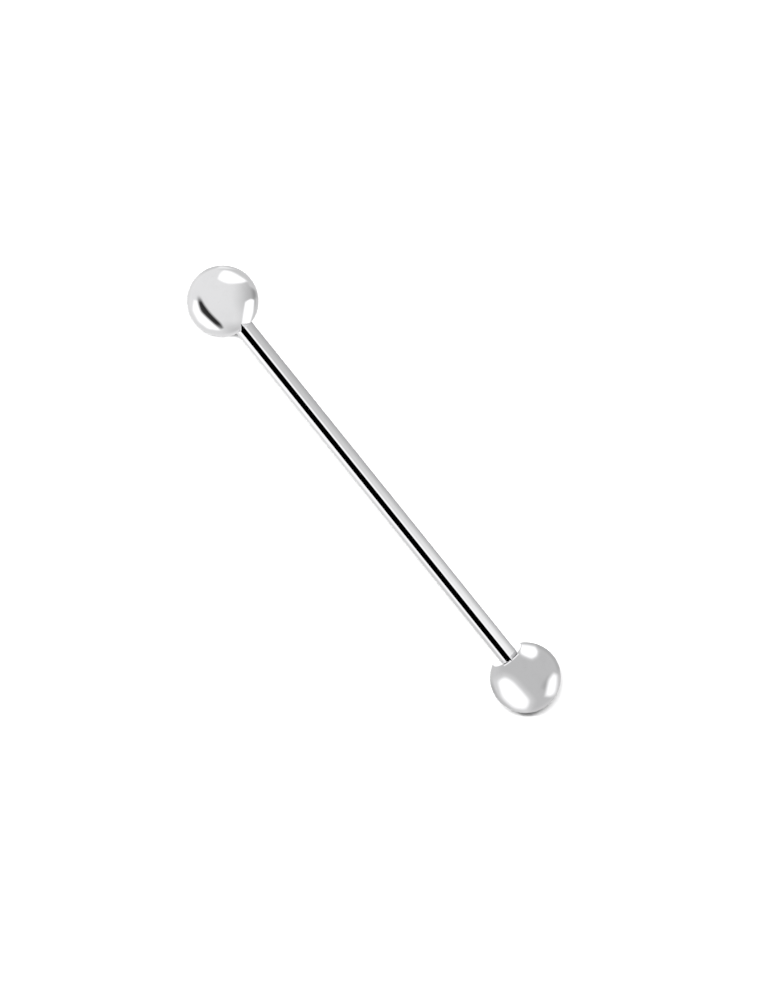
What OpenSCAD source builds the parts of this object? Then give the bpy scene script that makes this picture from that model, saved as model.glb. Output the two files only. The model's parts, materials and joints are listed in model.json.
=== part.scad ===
// Straight piercing barbell: a plain round bar with a ball that screws onto each end.
// Millimetres. The bar lies along X, the balls rest on Z = 0, and the origin is under the bar's middle.

/* [Bar] */
// Diameter of the bar, its gauge
bar_d = 1.6; // [1.6:0.1:2.4]
// Length of the bar between the shoulders that its posts stand on
bar_len = 38; // [28:1:48]
// Radius of the softened edge at each end of the bar
bar_edge_r = 0.1; // [0.05:0.01:0.15]

/* [Post] */
// Diameter of the post at each end of the bar, over its thread
post_d = 1.2; // [0.9:0.1:1.2]
// Length of the post beyond the end of the bar
post_len = 2.6; // [2:0.1:2.8]
// Chamfer at the tip of the post
post_tip = 0.15; // [0.1:0.01:0.25]

/* [Ball] */
// Diameter of each ball
ball_d = 6; // [5.5:0.5:8]
// Diameter of the flat that the bar goes into, before its rim is softened
flat_d = 3; // [2.8:0.1:3.6]
// Radius of the softened rim round the flat
rim_r = 0.12; // [0.08:0.01:0.2]
// Depth of the seat in the flat that takes the end of the bar
seat_deep = 0.25; // [0.2:0.05:0.4]
// Room beyond the tip of the post at the bottom of the ball's hole
hole_spare = 0.3; // [0.2:0.05:0.5]
// Diameter of the countersink at the mouth of the hole
sink_d = 1.5; // [1.45:0.01:1.55]

/* [Fit] */
// Radial clearance of the bar in its seat
bar_clear = 0.02; // [0.02:0.01:0.05]
// Radial clearance of the post in the hole
post_clear = 0.05; // [0.03:0.01:0.1]
// Gap left between the end of the bar and the bottom of its seat
seat_gap = 0.02; // [0.01:0.01:0.05]

/* [Hidden] */
$fn = 96;
// How far the hole is cut past the flat
eps = 0.05;
// Half of the point angle of the drill that made the hole
drill_half_angle = 59;

bar_r = bar_d / 2;
bar_end = bar_len / 2;
post_r = post_d / 2;
ball_r = ball_d / 2;
flat_r = flat_d / 2;
seat_r = bar_r + bar_clear;
sink_r = sink_d / 2;
hole_r = post_r + post_clear;
hole_deep = post_len + hole_spare;
sink_deep = sink_r - hole_r;
drill_point = hole_r / tan(drill_half_angle);

// Distances of the flat and of the bottom of the seat from the ball's centre
flat_z = sqrt(ball_r * ball_r - flat_r * flat_r);
seat_z = flat_z - seat_deep;
// Distance of each ball's centre from the middle of the bar
ball_x = bar_end + seat_gap + seat_z;

// Centre of the arc that softens the rim, touching both the sphere and the flat
rim_z = flat_z - rim_r;
rim_x = sqrt(pow(ball_r - rim_r, 2) - rim_z * rim_z);
// How far past the ball's surface the waste of the rim is cut
rim_cut = 1.2;

// Points along an arc about a centre, from one angle to another
function arc(centre, r, from, to, steps = 6) =
    [for (i = [0 : steps]) let (a = from + (to - from) * i / steps)
        centre + r * [cos(a), sin(a)]];

// Outline from the tip of one post to the side of the bar: across the bar in X, along it in Y
half_outline = concat(
    [
        [0, bar_end + post_len],
        [post_r - post_tip, bar_end + post_len],
        [post_r, bar_end + post_len - post_tip],
        [post_r, bar_end]
    ],
    arc([bar_r - bar_edge_r, bar_end - bar_edge_r], bar_edge_r, 90, 0)
);

// The bar with a post at each end, turned from one rod
module bar() {
    color("silver")
        translate([0, 0, ball_r])
            rotate([0, 90, 0])
                rotate_extrude()
                    polygon([
                        for (p = half_outline) p,
                        for (i = [len(half_outline) - 1 : -1 : 0])
                            [half_outline[i].x, -half_outline[i].y]
                    ]);
}

// Half outline of a ball with one flat facing up, its rim softened by an arc
module ball_outline() {
    difference() {
        intersection() {
            circle(ball_r);
            translate([0, -ball_r]) square([ball_r, ball_r + flat_z]);
        }
        polygon([
            [rim_x, rim_z],
            [rim_x * rim_cut, rim_z * rim_cut],
            [rim_x, flat_z + rim_cut]
        ]);
    }
    translate([rim_x, rim_z]) circle(rim_r);
}

// The seat for the bar's end, and the countersunk blind hole with the drill's point at its bottom
module post_hole() {
    rotate_extrude()
        polygon([
            [0, flat_z + eps],
            [seat_r, flat_z + eps],
            [seat_r, seat_z],
            [sink_r, seat_z],
            [hole_r, seat_z - sink_deep],
            [hole_r, seat_z - hole_deep],
            [0, seat_z - hole_deep - drill_point]
        ]);
}

// One ball, centred on the origin with its flat and its hole facing up
module screw_ball() {
    color("gainsboro")
        difference() {
            rotate_extrude() ball_outline();
            post_hole();
        }
}

module ball_left() {
    translate([-ball_x, 0, ball_r])
        rotate([0, -90, 180])
            screw_ball();
}

module ball_right() {
    translate([ball_x, 0, ball_r])
        rotate([0, -90, 0])
            screw_ball();
}

bar();
ball_left();
ball_right();
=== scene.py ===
import json
import math

import bpy
from mathutils import Matrix, Vector


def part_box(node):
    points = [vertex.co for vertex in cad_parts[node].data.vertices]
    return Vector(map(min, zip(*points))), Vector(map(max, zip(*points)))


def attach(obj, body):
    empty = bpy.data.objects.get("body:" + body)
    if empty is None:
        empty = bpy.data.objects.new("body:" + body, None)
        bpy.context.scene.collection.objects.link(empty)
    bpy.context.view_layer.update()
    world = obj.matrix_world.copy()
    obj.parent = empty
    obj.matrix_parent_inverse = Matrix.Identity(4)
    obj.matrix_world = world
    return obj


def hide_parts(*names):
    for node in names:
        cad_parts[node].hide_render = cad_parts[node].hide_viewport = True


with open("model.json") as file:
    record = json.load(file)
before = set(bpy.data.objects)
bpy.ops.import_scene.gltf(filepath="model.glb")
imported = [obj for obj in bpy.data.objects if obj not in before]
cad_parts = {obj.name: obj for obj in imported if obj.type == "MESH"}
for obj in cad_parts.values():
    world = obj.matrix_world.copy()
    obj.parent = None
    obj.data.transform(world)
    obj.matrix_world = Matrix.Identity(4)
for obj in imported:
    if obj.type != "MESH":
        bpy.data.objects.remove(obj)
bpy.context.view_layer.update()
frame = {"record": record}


# The camera looks down on the barbell from the side of its left ball, so that the bar runs from
# the upper left of the picture to the lower right and leans away from the lens. A long lens far
# off draws both balls the same size. The bar's middle lies a few pixels off the picture's.
MM = 0.001
axis_z = frame["record"]["mounts"][0]["pos_m"][2]
lean = math.radians(17.8)
fall = math.radians(51.2)
camera_distance = 1.5
photo_height_px = 984
photo_px_per_mm = 11.87
middle_right_px = -5.75
middle_up_px = 1.95

toward_camera = Vector((-math.sin(lean), 0, math.cos(lean)))
along_bar = Vector((math.cos(lean), 0, math.sin(lean)))
across_bar = Vector((0, 1, 0))
picture_right = math.cos(fall) * along_bar + math.sin(fall) * across_bar
picture_up = -math.sin(fall) * along_bar + math.cos(fall) * across_bar
middle = Vector((0, 0, axis_z))
off_middle = middle_right_px * picture_right + middle_up_px * picture_up
aim = middle - MM / photo_px_per_mm * off_middle

lens = bpy.data.cameras.new("camera")
lens.sensor_width = 36
lens.lens = lens.sensor_width * camera_distance / (photo_height_px / photo_px_per_mm * MM)
lens.clip_start = 0.1
lens.clip_end = 10
camera = bpy.data.objects.new("camera", lens)
camera_axes = Matrix((picture_right, picture_up, toward_camera)).transposed().to_4x4()
camera.matrix_world = Matrix.Translation(aim + camera_distance * toward_camera) @ camera_axes
bpy.context.collection.objects.link(camera)
bpy.context.scene.camera = camera


# The bar is one rod of 316L surgical steel. Its ends are turned down to posts, a fine
# right-hand thread is cut on each post, and the rod between them is polished to a mirror.
bar_low, bar_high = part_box("bar")
bar_r = (bar_high.y - bar_low.y) / 2
bar_end_x = 19 * MM
bar_edge_r = 0.1 * MM
bar_edge_segments = 8
bar_sides = 128
post_r = 0.6 * MM
post_chamfer = 0.15 * MM
post_len = bar_high.x - bar_end_x
square_on = 0.999
smooth_angle = math.radians(30)

thread_pitch = 0.25 * MM
thread_steps = 64
thread_turns = 12
thread_fade_turns = 0.75
flank = math.tan(math.radians(30))
post_root_r = 0.45 * MM
post_root_half = 0.01 * MM
post_cutter_r = 0.62 * MM
post_thread_x = bar_end_x + thread_pitch

bar_tint = (0.79, 0.79, 0.8)
bar_polish = 0.04
bar_line_stretch = (0.15, 30, 30)
bar_line_depth = 0.00025
haze_stretch = (0.9, 0.9, 0.9)
haze_from, haze_to = 0.4, 0.65
haze_roughness = 0.02
haze_shade = 0.02
scratch_stretches = ((0.7, 14, 14), (16, 1.1, 9))
scratch_from, scratch_to = 0.735, 0.76
scratch_roughness = 0.08
scratch_shade = 0.06
scratch_depth = 0.0003
turned_roughness = 0.2
turned_shade = 0.92
turned_groove_shade = 0.15
turned_depth = 0.001
turned_rings_per_mm = 18
turned_waver = 0.4
turned_edge_mm = 0.02


def start_piece(name):
    """Names the primitive just added, puts its place in its mesh and opens it for modelling."""
    piece = bpy.context.object
    piece.name = name
    piece.data.name = name
    bpy.ops.object.transform_apply(location=True, rotation=True, scale=True)
    bpy.ops.object.mode_set(mode="EDIT")
    bpy.ops.mesh.select_all(action="DESELECT")
    return piece


def select_faces(piece, wanted):
    """Selects the faces whose normal passes the test."""
    bpy.ops.mesh.select_mode(type="FACE")
    bpy.ops.mesh.select_all(action="DESELECT")
    bpy.ops.object.mode_set(mode="OBJECT")
    for face in piece.data.polygons:
        face.select = wanted(face.normal)
    bpy.ops.object.mode_set(mode="EDIT")


def faces_an_end(normal):
    """True for the flat faces at the two ends of the bar."""
    return abs(normal.x) > square_on


def push_out(length, narrow=1.0):
    """Extrudes the selected ends along their normals, and narrows them about the bar's axis."""
    bpy.ops.mesh.extrude_region_shrink_fatten(TRANSFORM_OT_shrink_fatten={"value": length})
    bpy.ops.transform.resize(value=(1, narrow, narrow), center_override=(0, 0, axis_z))


def thread_cutter(start_x, tip_r, tip_half, base_r, fade_from_start):
    """A flat-nosed V swept along a right-hand thread about the bar's axis, from start_x towards +X.
    At one end it fades out of the metal, as a thread runs out."""
    outwards = 1 if base_r > tip_r else -1
    base_half = tip_half + abs(base_r - tip_r) * flank
    bpy.ops.object.select_all(action="DESELECT")
    bpy.ops.mesh.primitive_plane_add(size=thread_pitch, location=(start_x, 0, axis_z))
    cutter = bpy.context.object
    corners = [(-base_half, base_r), (base_half, base_r), (-tip_half, tip_r), (tip_half, tip_r)]
    for vertex, (along, out) in zip(cutter.data.vertices, corners):
        vertex.co = (along, 0, out)
    bpy.ops.object.mode_set(mode="EDIT")
    bpy.ops.mesh.delete(type="ONLY_FACE")
    bpy.ops.object.mode_set(mode="OBJECT")
    screw = cutter.modifiers.new("thread", "SCREW")
    screw.axis = "X"
    screw.screw_offset = thread_pitch
    screw.iterations = thread_turns
    screw.steps = thread_steps
    screw.render_steps = thread_steps
    bpy.ops.object.modifier_apply(modifier=screw.name)
    for i, vertex in enumerate(cutter.data.vertices):
        turns = i // len(corners) / thread_steps
        turns_to_end = turns if fade_from_start else thread_turns - turns
        fade = max(0, 1 - turns_to_end / thread_fade_turns)
        widen = 1 + outwards * fade * abs(base_r - tip_r) / tip_r
        vertex.co.yz = vertex.co.yz * widen
    cutter.rotation_euler.x = math.pi / bar_sides
    bpy.ops.object.transform_apply(location=True, rotation=True, scale=True)
    bpy.ops.object.mode_set(mode="EDIT")
    bpy.ops.mesh.select_all(action="SELECT")
    bpy.ops.mesh.fill_holes(sides=0)
    bpy.ops.mesh.select_all(action="SELECT")
    bpy.ops.mesh.normals_make_consistent(inside=False)
    bpy.ops.object.mode_set(mode="OBJECT")
    return cutter


def cut_away(piece, cutter):
    """Cuts the cutter's shape out of the piece and puts the cutter away."""
    bpy.ops.object.select_all(action="DESELECT")
    bpy.context.view_layer.objects.active = piece
    piece.select_set(True)
    cut = piece.modifiers.new("cut", "BOOLEAN")
    cut.operation = "DIFFERENCE"
    cut.solver = "EXACT"
    cut.object = cutter
    bpy.ops.object.modifier_apply(modifier=cut.name)
    bpy.data.objects.remove(cutter)


def smooth_off(piece):
    """Shades the piece smooth up to its edges, with its flats kept flat."""
    bpy.ops.object.shade_smooth_by_angle(angle=smooth_angle)
    weigh = piece.modifiers.new("normals", "WEIGHTED_NORMAL")
    weigh.keep_sharp = True
    bpy.ops.object.modifier_apply(modifier=weigh.name)


bpy.ops.object.select_all(action="DESELECT")
bpy.ops.mesh.primitive_cylinder_add(
    vertices=bar_sides,
    radius=bar_r,
    depth=2 * bar_end_x,
    location=(0, 0, axis_z),
    rotation=(0, math.pi / 2, 0),
)
bar = start_piece("polished_bar")
select_faces(bar, faces_an_end)
bpy.ops.mesh.bevel(offset=bar_edge_r, segments=bar_edge_segments, profile=0.5, affect="EDGES")
select_faces(bar, faces_an_end)
bpy.ops.mesh.inset(thickness=bar_r - bar_edge_r - post_r, use_boundary=True)
push_out(post_len - post_chamfer)
push_out(post_chamfer, narrow=1 - post_chamfer / post_r)
bpy.ops.object.mode_set(mode="OBJECT")
for half_turn in (0, math.pi):
    die = thread_cutter(
        post_thread_x, post_root_r, post_root_half, post_cutter_r, fade_from_start=True
    )
    die.data.transform(Matrix.Rotation(half_turn, 4, "Z"))
    cut_away(bar, die)
smooth_off(bar)


def wire(tree, socket, value):
    """Sets an input to a constant, or joins it to another node's output."""
    if isinstance(value, bpy.types.NodeSocket):
        tree.links.new(value, socket)
    else:
        socket.default_value = value


def maths(tree, operation, *values):
    """Adds a Math node and returns what it puts out."""
    node = tree.nodes.new("ShaderNodeMath")
    node.operation = operation
    for socket, value in zip(node.inputs, values):
        wire(tree, socket, value)
    return node.outputs["Value"]


def vectors(tree, operation, *values):
    """Adds a Vector Math node and returns what it puts out."""
    node = tree.nodes.new("ShaderNodeVectorMath")
    node.operation = operation
    for socket, value in zip(node.inputs, values):
        wire(tree, socket, value)
    return node.outputs["Value" if operation == "DOT_PRODUCT" else "Vector"]


def parts_of(tree, place):
    """Splits a place into how far it lies along the bar, across it and up."""
    split = tree.nodes.new("ShaderNodeSeparateXYZ")
    wire(tree, split.inputs["Vector"], place)
    return split.outputs["X"], split.outputs["Y"], split.outputs["Z"]


def ramp(tree, value, start, end, low=0.0, high=1.0):
    """Goes smoothly from low to high as the value goes from start to end."""
    node = tree.nodes.new("ShaderNodeMapRange")
    node.interpolation_type = "SMOOTHSTEP"
    wire(tree, node.inputs["Value"], value)
    node.inputs["From Min"].default_value = start
    node.inputs["From Max"].default_value = end
    node.inputs["To Min"].default_value = low
    node.inputs["To Max"].default_value = high
    return node.outputs["Result"]


def blend(tree, share, first, second):
    """Goes from the first tone to the second as the share goes from 0 to 1."""
    node = tree.nodes.new("ShaderNodeMix")
    wire(tree, node.inputs["Factor"], share)
    wire(tree, node.inputs["A"], first)
    wire(tree, node.inputs["B"], second)
    return node.outputs["Result"]


def noise(tree, place, stretch, detail):
    """Adds a noise from 0 to 1 whose grains are 1 mm long, divided by the stretch each way."""
    grain = tree.nodes.new("ShaderNodeTexNoise")
    wire(tree, grain.inputs["Vector"], vectors(tree, "MULTIPLY", place, stretch))
    grain.inputs["Scale"].default_value = 1
    grain.inputs["Detail"].default_value = detail
    return grain.outputs["Fac"]


def turned_rings(tree, place):
    """Adds the fine rings about the bar's axis that a turning tool leaves."""
    rings_per_scale = 20 / math.tau
    rings = tree.nodes.new("ShaderNodeTexWave")
    rings.wave_type = "RINGS"
    rings.rings_direction = "X"
    wire(tree, rings.inputs["Vector"], place)
    rings.inputs["Scale"].default_value = turned_rings_per_mm / rings_per_scale
    rings.inputs["Distortion"].default_value = turned_waver
    rings.inputs["Detail"].default_value = 2
    return rings.outputs["Fac"]


def steel_finish_group():
    """Polished steel seen close: cloudy haze, fine polishing lines and sparse hairline scratches,
    and the concentric tool marks of the places that are left as they were turned."""
    group = bpy.data.node_groups.new("steel_finish", "ShaderNodeTree")
    for name, kind in (
        ("Place", "NodeSocketVector"),
        ("Tint", "NodeSocketColor"),
        ("Polish", "NodeSocketFloat"),
        ("Line Stretch", "NodeSocketVector"),
        ("Line Depth", "NodeSocketFloat"),
        ("As Turned", "NodeSocketFloat"),
    ):
        group.interface.new_socket(name, in_out="INPUT", socket_type=kind)
    group.interface.new_socket("Color", in_out="OUTPUT", socket_type="NodeSocketColor")
    group.interface.new_socket("Roughness", in_out="OUTPUT", socket_type="NodeSocketFloat")
    group.interface.new_socket("Height", in_out="OUTPUT", socket_type="NodeSocketFloat")
    given = group.nodes.new("NodeGroupInput").outputs
    result = group.nodes.new("NodeGroupOutput").inputs

    haze = ramp(group, noise(group, given["Place"], haze_stretch, 3), haze_from, haze_to)
    lines = noise(group, given["Place"], given["Line Stretch"], 4)
    one_way, other_way = (
        ramp(group, noise(group, given["Place"], stretch, 1), scratch_from, scratch_to)
        for stretch in scratch_stretches
    )
    scratches = maths(group, "MAXIMUM", one_way, other_way)
    rings = turned_rings(group, given["Place"])

    polished = maths(group, "ADD", given["Polish"], maths(group, "MULTIPLY", haze, haze_roughness))
    polished = maths(group, "ADD", polished, maths(group, "MULTIPLY", scratches, scratch_roughness))
    rough = blend(group, given["As Turned"], polished, turned_roughness)
    wire(group, result["Roughness"], rough)

    shade = maths(group, "SUBTRACT", 1, maths(group, "MULTIPLY", haze, haze_shade))
    shade = maths(group, "SUBTRACT", shade, maths(group, "MULTIPLY", scratches, scratch_shade))
    groove = maths(group, "MULTIPLY", rings, turned_groove_shade)
    shade = blend(group, given["As Turned"], shade, maths(group, "SUBTRACT", turned_shade, groove))
    wire(group, result["Color"], vectors(group, "MULTIPLY", given["Tint"], shade))

    relief = maths(group, "MULTIPLY", lines, given["Line Depth"])
    relief = maths(group, "SUBTRACT", relief, maths(group, "MULTIPLY", scratches, scratch_depth))
    tool_marks = maths(group, "MULTIPLY", rings, turned_depth)
    relief = blend(group, given["As Turned"], relief, tool_marks)
    wire(group, result["Height"], relief)
    return group


def steel(name, tint, polish, line_stretch, line_depth, turned_zone):
    """A steel with the shared finish. The turned zone says where it is left as turned, for a place
    in millimetres from the middle of the bar."""
    material = bpy.data.materials.new(name)
    material.use_nodes = True
    tree = material.node_tree
    shader = tree.nodes["Principled BSDF"]
    shader.inputs["Metallic"].default_value = 1
    object_place = tree.nodes.new("ShaderNodeTexCoord").outputs["Object"]
    from_middle = vectors(tree, "SUBTRACT", object_place, tuple(middle))
    place = vectors(tree, "MULTIPLY", from_middle, (1 / MM, 1 / MM, 1 / MM))
    finish = tree.nodes.new("ShaderNodeGroup")
    finish.node_tree = steel_finish
    wire(tree, finish.inputs["Place"], place)
    wire(tree, finish.inputs["Tint"], (*tint, 1))
    wire(tree, finish.inputs["Polish"], polish)
    wire(tree, finish.inputs["Line Stretch"], line_stretch)
    wire(tree, finish.inputs["Line Depth"], line_depth)
    wire(tree, finish.inputs["As Turned"], turned_zone(tree, place))
    wire(tree, shader.inputs["Base Color"], finish.outputs["Color"])
    wire(tree, shader.inputs["Roughness"], finish.outputs["Roughness"])
    bump = tree.nodes.new("ShaderNodeBump")
    bump.inputs["Distance"].default_value = MM
    wire(tree, bump.inputs["Height"], finish.outputs["Height"])
    wire(tree, shader.inputs["Normal"], bump.outputs["Normal"])
    return material


def beyond_the_rod(tree, place):
    """The posts and the shoulders that they stand on, past the softened ends of the rod."""
    along = parts_of(tree, place)[0]
    end = bar_end_x / MM
    return ramp(tree, maths(tree, "ABSOLUTE", along), end - turned_edge_mm, end)


steel_finish = steel_finish_group()
bar_steel = steel("bar_steel", bar_tint, bar_polish, bar_line_stretch, bar_line_depth, beyond_the_rod)
bar.data.materials.clear()
bar.data.materials.append(bar_steel)

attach(bar, "bar")
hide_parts("bar")


# Each ball is turned from the same steel. It has a flat with a seat for the end of the bar, is
# drilled and tapped blind for the post's thread, and is polished all over but for the seat and hole.
ball_low, ball_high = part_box("ball_right")
ball_r = axis_z
ball_x = ball_high.x - ball_r
flat_x = ball_low.x
flat_r = math.sqrt(ball_r**2 - (ball_x - flat_x) ** 2)
rim_r = 0.12 * MM
rim_width = rim_r * math.tan(math.asin(flat_r / ball_r) / 2)
rim_segments = 4
ball_segments = 128
ball_rings = 96

seat_r = 0.82 * MM
seat_deep = 0.25 * MM
sink_r = 0.75 * MM
hole_r = 0.49 * MM
sink_deep = sink_r - hole_r
hole_deep = 2.9 * MM
drill_half_angle = math.radians(59)
drill_point = hole_r / math.tan(drill_half_angle)
tap_r = 0.65 * MM
tap_half = 0.02 * MM
tap_inner_r = 0.475 * MM
turns_before_post = 2.5
tap_x = post_thread_x - turns_before_post * thread_pitch
closed = 1e-3

ball_tint = (0.8, 0.8, 0.81)
ball_polish = 0.035
ball_line_stretch = (9, 9, 9)
ball_line_depth = 0.0002
seat_zone_from_mm, seat_zone_to_mm = 0.03, 0.01
hole_zone_from_mm, hole_zone_to_mm = 4.2, 4.0


def faces_the_bar(normal):
    """True for the flat face that is turned to the bar."""
    return normal.x < -square_on


bpy.ops.object.select_all(action="DESELECT")
bpy.ops.mesh.primitive_uv_sphere_add(
    segments=ball_segments,
    ring_count=ball_rings,
    radius=ball_r,
    location=(ball_x, 0, axis_z),
    rotation=(0, math.pi / 2, 0),
)
right_ball = start_piece("right_ball")
bpy.ops.mesh.select_all(action="SELECT")
bpy.ops.mesh.bisect(
    plane_co=(flat_x, 0, 0), plane_no=(1, 0, 0), use_fill=True, clear_inner=True, threshold=1e-8
)
select_faces(right_ball, faces_the_bar)
bpy.ops.mesh.bevel(offset=rim_width, segments=rim_segments, profile=0.5, affect="EDGES")
select_faces(right_ball, faces_the_bar)
bpy.ops.mesh.inset(thickness=flat_r - rim_width - seat_r, use_boundary=True)
push_out(-seat_deep)
bpy.ops.mesh.inset(thickness=seat_r - sink_r, use_boundary=True)
push_out(-sink_deep, narrow=hole_r / sink_r)
push_out(sink_deep - hole_deep)
push_out(-drill_point, narrow=closed)
bpy.ops.mesh.merge(type="CENTER")
bpy.ops.object.mode_set(mode="OBJECT")
tap = thread_cutter(tap_x, tap_r, tap_half, tap_inner_r, fade_from_start=False)
cut_away(right_ball, tap)
smooth_off(right_ball)


def seat_and_hole(tree, place):
    """The seat for the end of the bar, and the tapped hole beyond it."""
    along, across, up = parts_of(tree, place)
    past_flat = maths(tree, "SUBTRACT", maths(tree, "ABSOLUTE", along), flat_x / MM)
    squares = maths(tree, "ADD", maths(tree, "POWER", across, 2.0), maths(tree, "POWER", up, 2.0))
    past_seat = maths(tree, "SUBTRACT", maths(tree, "SQRT", squares), seat_r / MM)
    near_axis = ramp(tree, past_seat, seat_zone_from_mm, seat_zone_to_mm)
    near_flat = ramp(tree, past_flat, hole_zone_from_mm, hole_zone_to_mm)
    return maths(tree, "MULTIPLY", near_axis, near_flat)


ball_steel = steel(
    "ball_steel", ball_tint, ball_polish, ball_line_stretch, ball_line_depth, seat_and_hole
)
right_ball.data.materials.clear()
right_ball.data.materials.append(ball_steel)

left_ball = right_ball.copy()
left_ball.data = right_ball.data.copy()
left_ball.name = "left_ball"
left_ball.data.name = "left_ball"
bpy.context.collection.objects.link(left_ball)
left_ball.data.transform(Matrix.Rotation(math.pi, 4, "Z"))

for ball, node in ((left_ball, "ball_left"), (right_ball, "ball_right")):
    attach(ball, node)
    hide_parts(node)


# The floor is a plain white sheet. Two lamps light it and nothing else: a wide one overhead, and a
# long light box beside the line from the lens. Seen from the lens, the left ball hides its shadow,
# and the right ball, further from the box, lets a thin crescent of its own show.
floor_size = 0.8
floor_tint = (0.9, 0.9, 0.9)
floor_roughness = 0.8
wide_lamp_strength = 0.3
light_box_place = Vector((-0.1375, 0.008, 0.36))
light_box_size = (0.17, 0.03)
light_box_watts = 20

bpy.ops.object.select_all(action="DESELECT")
bpy.ops.mesh.primitive_plane_add(size=floor_size, location=(0, 0, 0))
floor = bpy.context.object
floor.name = "floor"
floor_white = bpy.data.materials.new("floor_white")
floor_white.use_nodes = True
floor_shader = floor_white.node_tree.nodes["Principled BSDF"]
floor_shader.inputs["Base Color"].default_value = (*floor_tint, 1)
floor_shader.inputs["Roughness"].default_value = floor_roughness
floor_shader.inputs["Specular IOR Level"].default_value = 0
floor.data.materials.append(floor_white)
floor.visible_glossy = False

studio_air = bpy.data.worlds.new("studio_air")
studio_air.use_nodes = True
studio_air.node_tree.nodes["Background"].inputs["Color"].default_value = (1, 1, 1, 1)
studio_air.cycles_visibility.diffuse = False
studio_air.cycles_visibility.glossy = False
bpy.context.scene.world = studio_air
bpy.context.scene.view_settings.view_transform = "Standard"


def only(name, piece):
    """A collection that holds one piece, for the lights that are meant for it."""
    one = bpy.data.collections.new(name)
    one.objects.link(piece)
    return one


def floor_lamp(name, kind, strength):
    """Adds a lamp that lights the floor alone."""
    light = bpy.data.lights.new(name, kind)
    light.energy = strength
    lamp = bpy.data.objects.new(name, light)
    lamp.light_linking.receiver_collection = only(name + "_lights", floor)
    bpy.context.collection.objects.link(lamp)
    return lamp


wide_lamp = floor_lamp("wide_lamp", "SUN", wide_lamp_strength)
wide_lamp.data.angle = math.pi

light_box = floor_lamp("light_box", "AREA", light_box_watts)
light_box.data.shape = "RECTANGLE"
light_box.data.size, light_box.data.size_y = light_box_size
box_away = (light_box_place - middle).normalized()
box_up = box_away.cross(picture_right).normalized()
box_axes = Matrix((box_up.cross(box_away), box_up, box_away)).transposed().to_4x4()
light_box.matrix_world = Matrix.Translation(light_box_place) @ box_axes
light_box.data.use_nodes = True
box_nodes = light_box.data.node_tree
no_loss = box_nodes.nodes.new("ShaderNodeLightFalloff")
no_loss.inputs["Strength"].default_value = 1
wire(box_nodes, box_nodes.nodes["Emission"].inputs["Strength"], no_loss.outputs["Constant"])


# Each piece stands in a tent of its own, of white card lit from behind, which lights that piece
# alone. The steel mirrors its cards and gaps. The left ball's tent has a leaf of light above, a
# tall patch on the right, and a crescent at the lower left with a black gap along its inner side.
left_tent_r = 0.4
card_white = 1.35
top_rim_grey = 0.72
top_band_white = 1.1
corner_grey = 0.36
gap_black = 0.0
card_rounding = 0.06
fine_rounding = 0.03
gap_rounding = 0.04
top_band_corners = [(-0.2, 0.885), (-0.14, 0.945), (0.02, 0.945), (0.24, 0.895), (0.06, 0.9)]
corner_shade_corners = [(0.8, 0.38), (0.88, 0.36), (0.92, 0.2), (0.86, 0.13)]
leaf_corners = [
    (-0.17, 0.6),
    (-0.12, 0.76),
    (-0.01, 0.865),
    (0.2, 0.84),
    (0.6, 0.65),
    (0.66, 0.59),
    (0.52, 0.51),
    (0.15, 0.465),
    (-0.03, 0.51),
]
tall_patch_corners = [
    (0.62, 0),
    (0.78, 0.1),
    (0.88, 0.08),
    (0.885, -0.1),
    (0.86, -0.35),
    (0.77, -0.62),
    (0.7, -0.72),
    (0.53, -0.7),
]
far_side_corners = [
    (-0.64, 0.2),
    (0.5, 0.8),
    (0.5, -1),
    (0, -0.7),
    (-0.17, -0.525),
    (-0.32, -0.365),
    (-0.44, -0.205),
    (-0.55, -0.03),
]
crescent_corners = [
    (-0.8, 0.06),
    (-0.5, 0),
    (0.02, -0.6),
    (-0.02, -0.8),
    (-0.15, -0.82),
    (-0.46, -0.75),
    (-0.72, -0.52),
    (-0.85, -0.2),
]
gap_corners = [
    (-0.71, 0.25),
    (-0.59, 0.22),
    (-0.3, -0.12),
    (-0.01, -0.75),
    (-0.04, -0.79),
    (-0.1, -0.79),
    (-0.495, -0.405),
    (-0.615, -0.26),
    (-0.675, -0.06),
]


def raise_tent(name, tent_r, piece):
    """Puts up a see-through tent round the barbell that lights one piece, and opens its nodes."""
    bpy.ops.object.select_all(action="DESELECT")
    bpy.ops.mesh.primitive_ico_sphere_add(subdivisions=3, radius=tent_r, location=(0, 0, axis_z))
    tent = bpy.context.object
    tent.name = name
    tent.visible_camera = False
    tent.visible_diffuse = False
    tent.visible_shadow = False
    tent.light_linking.receiver_collection = only(name + "_lights", piece)
    cards = bpy.data.materials.new(name)
    cards.use_nodes = True
    cards.cycles.emission_sampling = "NONE"
    tree = cards.node_tree
    tree.nodes.clear()
    glow = tree.nodes.new("ShaderNodeEmission")
    see_through = tree.nodes.new("ShaderNodeBsdfTransparent")
    both = tree.nodes.new("ShaderNodeAddShader")
    surface = tree.nodes.new("ShaderNodeOutputMaterial")
    wire(tree, both.inputs[0], glow.outputs["Emission"])
    wire(tree, both.inputs[1], see_through.outputs["BSDF"])
    wire(tree, surface.inputs["Surface"], both.outputs["Shader"])
    tent.data.materials.append(cards)
    place = tree.nodes.new("ShaderNodeTexCoord").outputs["Object"]
    return tree, place, glow.inputs["Strength"]


def mirrored_way(tree, place):
    """Which way a ball's surface faces where it mirrors each point of a tent towards the lens."""
    way = vectors(tree, "NORMALIZE", place)
    return vectors(tree, "NORMALIZE", vectors(tree, "ADD", way, tuple(toward_camera)))


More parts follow.
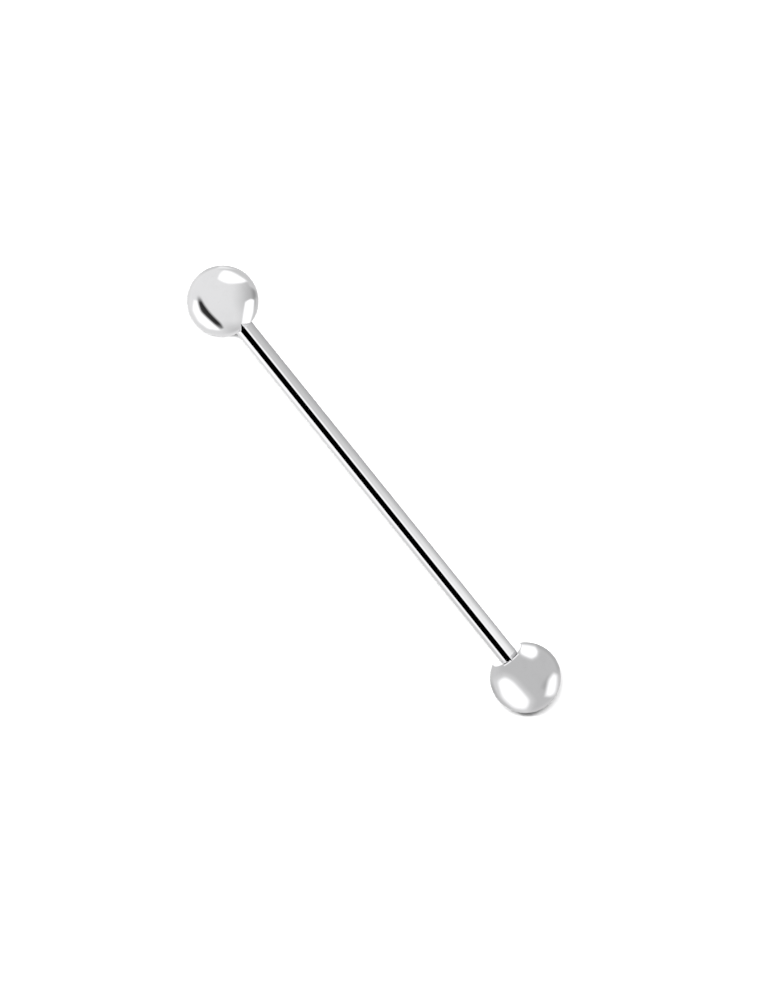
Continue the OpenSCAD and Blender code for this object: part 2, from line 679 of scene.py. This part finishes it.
def ball_spot(tree, half_way):
    """Where on the ball that is, in ball radii: the spot to the right and up of the ball's middle,
    and its distance from there."""
    right = vectors(tree, "DOT_PRODUCT", half_way, tuple(picture_right))
    up = vectors(tree, "DOT_PRODUCT", half_way, tuple(picture_up))
    spot = tree.nodes.new("ShaderNodeCombineXYZ")
    wire(tree, spot.inputs["X"], right)
    wire(tree, spot.inputs["Y"], up)
    spot.inputs["Z"].default_value = 1
    squares = maths(tree, "ADD", maths(tree, "POWER", right, 2.0), maths(tree, "POWER", up, 2.0))
    return spot.outputs["Vector"], right, up, maths(tree, "SQRT", squares)


def card(tree, spot, corners, rounding=card_rounding):
    """How deep each spot lies inside a card with rounded corners, which are given clockwise."""
    inside = None
    for (x, y), (next_x, next_y) in zip(corners, corners[1:] + corners[:1]):
        side = math.hypot(next_x - x, next_y - y)
        inward = ((next_y - y) / side, (x - next_x) / side)
        offset = -inward[0] * x - inward[1] * y
        past_side = vectors(tree, "DOT_PRODUCT", spot, (*inward, offset))
        if inside is None:
            inside = past_side
        else:
            inside = maths(tree, "SMOOTH_MIN", inside, past_side, rounding)
    return inside


tree, place, glow = raise_tent("left_tent", left_tent_r, left_ball)
spot, right, up, edge = ball_spot(tree, mirrored_way(tree, place))

upper_tone = ramp(tree, right, 0.15, 0.95, 0.95, 0.5)
lower_tone = ramp(tree, right, 0.3, 0.6, 0.93, 0.82)
foot_tone = ramp(tree, right, -0.2, 0.4, 0.86, 0.65)
tone = blend(tree, ramp(tree, up, 0.1, -0.4), upper_tone, lower_tone)
tone = blend(tree, ramp(tree, up, -0.5, -0.85), tone, foot_tone)

top_rim = maths(tree, "MULTIPLY", ramp(tree, edge, 0.82, 0.88), ramp(tree, right, -0.25, 0.1))
top_rim = maths(tree, "MULTIPLY", top_rim, ramp(tree, up, 0.3, 0.5))
tone = blend(tree, top_rim, tone, top_rim_grey)
rim_tone = ramp(tree, maths(tree, "ADD", right, up), -0.1, 0.5, 0.86, 0.68)
tone = blend(tree, ramp(tree, edge, 0.89, 0.96), tone, rim_tone)
top_band = card(tree, spot, top_band_corners, fine_rounding)
tone = blend(tree, ramp(tree, top_band, -0.04, 0.03), tone, top_band_white)
corner_shade = card(tree, spot, corner_shade_corners)
tone = blend(tree, ramp(tree, corner_shade, -0.08, 0.05), tone, corner_grey)

leaf = card(tree, spot, leaf_corners)
tone = blend(tree, ramp(tree, leaf, -0.025, 0.055), tone, card_white)
tall_patch = card(tree, spot, tall_patch_corners)
tone = blend(tree, ramp(tree, tall_patch, -0.03, 0.03), tone, card_white)

far_side = card(tree, spot, far_side_corners, fine_rounding)
crescent = card(tree, spot, crescent_corners)
crescent = maths(tree, "MINIMUM", crescent, maths(tree, "SUBTRACT", -0.08, far_side))
tone = blend(tree, ramp(tree, crescent, -0.04, 0.04), tone, card_white)
gap = card(tree, spot, gap_corners, gap_rounding)
gap = maths(tree, "SMOOTH_MIN", gap, maths(tree, "MULTIPLY", far_side, -1.0), gap_rounding)
gap_fade = maths(tree, "MULTIPLY", ramp(tree, up, 0.22, -0.04), ramp(tree, up, -0.85, -0.6, 0.6, 0.97))
gap_share = maths(tree, "MULTIPLY", ramp(tree, gap, -0.05, 0.04), gap_fade)
tone = blend(tree, gap_share, tone, gap_black)
wire(tree, glow, tone)


# The tent round the right ball has a large soft card at the lower left, one above and one on the
# right. The ball's flat mirrors a white part of it, and the rim above the bar a black line.
right_tent_r = 0.5
soft_white = 1.0
patch_shade_grey = 0.5
flat_white = 1.3
rim_white = 1.1
rim_black = 0.05
soft_rounding = 0.15
side_rounding = 0.08
soft_card_corners = [
    (-0.78, -0.15),
    (-0.6, -0.01),
    (-0.42, -0.07),
    (-0.1, -0.36),
    (0.13, -0.66),
    (0.05, -0.88),
    (-0.26, -0.88),
    (-0.62, -0.61),
]
top_card_corners = [
    (-0.12, 0.68),
    (-0.15, 0.94),
    (0.1, 0.92),
    (0.32, 0.85),
    (0.38, 0.72),
    (0.34, 0.6),
    (0.2, 0.53),
    (0, 0.6),
]
patch_shade_corners = [(0.5, -0.18), (0.62, -0.04), (0.62, -0.25), (0.55, -0.36), (0.46, -0.3)]
side_patch_corners = [
    (0.66, -0.09),
    (0.8, 0.07),
    (0.88, 0.02),
    (0.88, -0.2),
    (0.8, -0.47),
    (0.7, -0.53),
    (0.57, -0.51),
]

tree, place, glow = raise_tent("right_tent", right_tent_r, right_ball)
half_way = mirrored_way(tree, place)
spot, right, up, edge = ball_spot(tree, half_way)

left_rim_tone = ramp(tree, up, 0, -0.5, 0.68, 0.46)
right_rim_tone = ramp(tree, up, 0.2, -0.1, 0.5, 0.66)
rim_tone = blend(tree, ramp(tree, right, -0.4, 0.1), left_rim_tone, right_rim_tone)
tone = ramp(tree, right, -0.6, -0.9, 0.62, 0.72)
tone = blend(tree, ramp(tree, edge, 0.88, 0.96), tone, rim_tone)

soft_card = card(tree, spot, soft_card_corners, soft_rounding)
tone = blend(tree, ramp(tree, soft_card, -0.22, 0.0, 0.0, 0.5), tone, soft_white)
tone = blend(tree, ramp(tree, soft_card, -0.07, 0.06), tone, card_white)
top_card = card(tree, spot, top_card_corners)
tone = blend(tree, ramp(tree, top_card, -0.12, 0.0, 0.0, 0.35), tone, soft_white)
tone = blend(tree, ramp(tree, top_card, -0.05, 0.05), tone, card_white)
patch_shade = card(tree, spot, patch_shade_corners)
tone = blend(tree, ramp(tree, patch_shade, -0.08, 0.06), tone, patch_shade_grey)
side_patch = card(tree, spot, side_patch_corners, side_rounding)
tone = blend(tree, ramp(tree, side_patch, -0.08, 0.06), tone, card_white)

along = vectors(tree, "DOT_PRODUCT", half_way, (1, 0, 0))
across = vectors(tree, "DOT_PRODUCT", half_way, tuple(across_bar))
upwards = vectors(tree, "DOT_PRODUCT", half_way, (0, 0, 1))
aside = maths(tree, "DIVIDE", across, upwards)
above_bar = maths(tree, "MULTIPLY", ramp(tree, aside, 0.62, 0.54), ramp(tree, aside, -0.62, -0.54))
before_rim = maths(tree, "MULTIPLY", ramp(tree, along, -0.81, -0.825), above_bar)
on_rim = maths(tree, "MULTIPLY", ramp(tree, along, -0.84, -0.855), above_bar)
tone = blend(tree, before_rim, tone, rim_white)
tone = blend(tree, on_rim, tone, rim_black)
tone = blend(tree, ramp(tree, along, -0.985, -0.995), tone, flat_white)
wire(tree, glow, tone)


# The tent round the bar goes by the angle about the bar, in degrees from straight up: a white side,
# a black gap, a narrow white strip and a grey side. Each point of the bar mirrors its own part of
# the tent, which changes from the bar's left end to its right end.
bar_tent_r = 0.6
bar_reach = 20 * MM
side_white = 1.25
low_grey = 0.4

tree, place, glow = raise_tent("bar_tent", bar_tent_r, bar)
along, across, upwards = parts_of(tree, place)
turn = maths(tree, "MULTIPLY", maths(tree, "ARCTAN2", across, upwards), math.degrees(1))
tent_middle = maths(tree, "MULTIPLY", maths(tree, "SIGN", along), bar_tent_r * math.sin(lean))
down_bar = ramp(tree, maths(tree, "SUBTRACT", along, tent_middle), -bar_reach, bar_reach)

white_side = blend(tree, down_bar, ramp(tree, turn, -115, -95), ramp(tree, turn, -103, -78))
tone = blend(tree, white_side, blend(tree, down_bar, 0.92, 0.75), side_white)
tone = blend(tree, ramp(tree, turn, -64.5, -61.5), tone, gap_black)
tone = blend(tree, ramp(tree, turn, 1, 6), tone, side_white)
tone = blend(tree, ramp(tree, turn, 10, 35), tone, blend(tree, down_bar, 0.71, 1.1))
tone = blend(tree, ramp(tree, turn, 45, 115), tone, blend(tree, down_bar, 0.58, 0.7))
tone = blend(tree, ramp(tree, turn, 120, 145), tone, low_grey)
wire(tree, glow, tone)

# The bar doesn't mirror the balls, so that the black gap runs on along it right up to each ball.
for ball in (left_ball, right_ball):
    ball.visible_glossy = False
